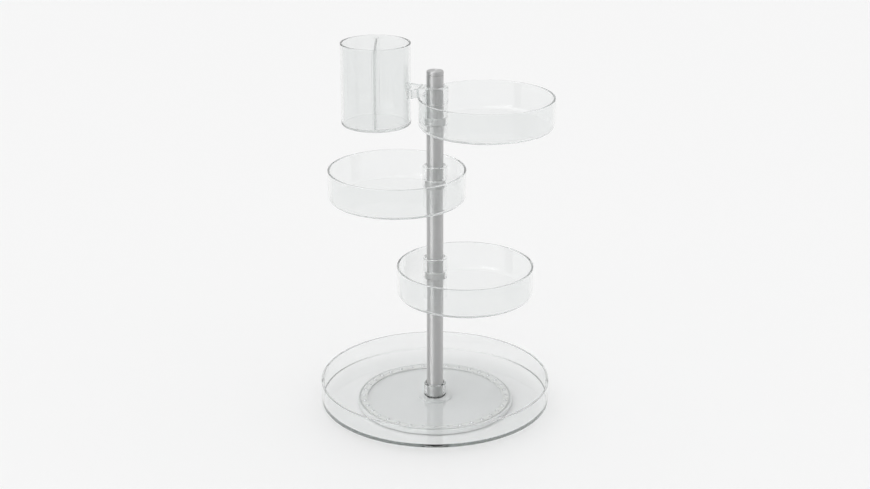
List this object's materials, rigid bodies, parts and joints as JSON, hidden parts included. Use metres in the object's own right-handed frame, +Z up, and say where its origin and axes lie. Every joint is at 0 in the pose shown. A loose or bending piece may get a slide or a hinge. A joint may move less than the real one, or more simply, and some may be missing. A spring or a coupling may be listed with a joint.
{
  "type": "makeup organizer",
  "caption": "Clear makeup organizer: a round dish spinning on a ball-bearing foot, a brushed steel pole, swivelling round trays and a divided brush cup on an arm.",
  "frame": {"origin": "on the pole's axis, on the plane that the foot's rubber pads rest on", "axes": "+Z up along the pole, -Y towards the viewer, +X to the viewer's right"},
  "size_m": [0.252, 0.252, 0.4099],
  "materials": {
    "clear_plastic": "clear polished moulding, faint cool tint",
    "foot_plastic": "frosted translucent moulding",
    "pad_rubber": "soft milky rubber",
    "ball_steel": "polished balls",
    "cage_nylon": "pale nylon",
    "glide_nylon": "white nylon",
    "brushed_steel": "brushed round the pole",
    "turned_steel": "turned, plain",
    "screw_steel": "blackened steel"
  },
  "bodies": {
    "foot": {"foot_plate": "foot_plastic", "foot_pads": "pad_rubber"},
    "ball_ring": {"ball_cage": "cage_nylon", "bearing_balls": "ball_steel"},
    "carousel": {"base_dish": "clear_plastic", "pole_tube": "brushed_steel", "pole_plug": "turned_steel", "pole_bolt": "turned_steel", "bolt_washer": "turned_steel", "pole_cap": "brushed_steel", "collar_screws": "screw_steel", "lower_stop_collar": "turned_steel", "middle_stop_collar": "turned_steel", "top_stop_collar": "turned_steel", "lower_glide_washer": "glide_nylon", "middle_glide_washer": "glide_nylon", "top_glide_washer": "glide_nylon"},
    "lower_level": {"lower_tray": "clear_plastic"},
    "middle_level": {"middle_tray": "clear_plastic"},
    "top_level": {"top_tray": "clear_plastic"},
    "brush_holder": {"brush_cup": "clear_plastic", "cup_divider": "clear_plastic", "cup_bracket": "clear_plastic"}
  },
  "joints": [
    {"name": "carousel_spin", "type": "hinge", "parent": "foot", "child": "carousel", "pos_m": [0, 0, 0], "axis": [0, 0, 1], "continuous": true},
    {"name": "ball_ring_spin", "type": "hinge", "parent": "foot", "child": "ball_ring", "pos_m": [0, 0, 0], "axis": [0, 0, 1], "continuous": true},
    {"name": "lower_tray_swivel", "type": "hinge", "parent": "carousel", "child": "lower_level", "pos_m": [0, 0, 0.1482], "axis": [0, 0, 1], "continuous": true},
    {"name": "middle_tray_swivel", "type": "hinge", "parent": "carousel", "child": "middle_level", "pos_m": [0, 0, 0.2522], "axis": [0, 0, 1], "continuous": true},
    {"name": "top_tray_swivel", "type": "hinge", "parent": "carousel", "child": "top_level", "pos_m": [0, 0, 0.3207], "axis": [0, 0, 1], "continuous": true},
    {"name": "cup_swing", "type": "hinge", "parent": "top_level", "child": "brush_holder", "pos_m": [0, 0, 0.3457], "axis": [0, 0, 1], "range_deg": [-41, 31]}
  ],
  "couplings": [
    {"joint": "ball_ring_spin", "follows": "carousel_spin", "ratio": 0.5}
  ]
}
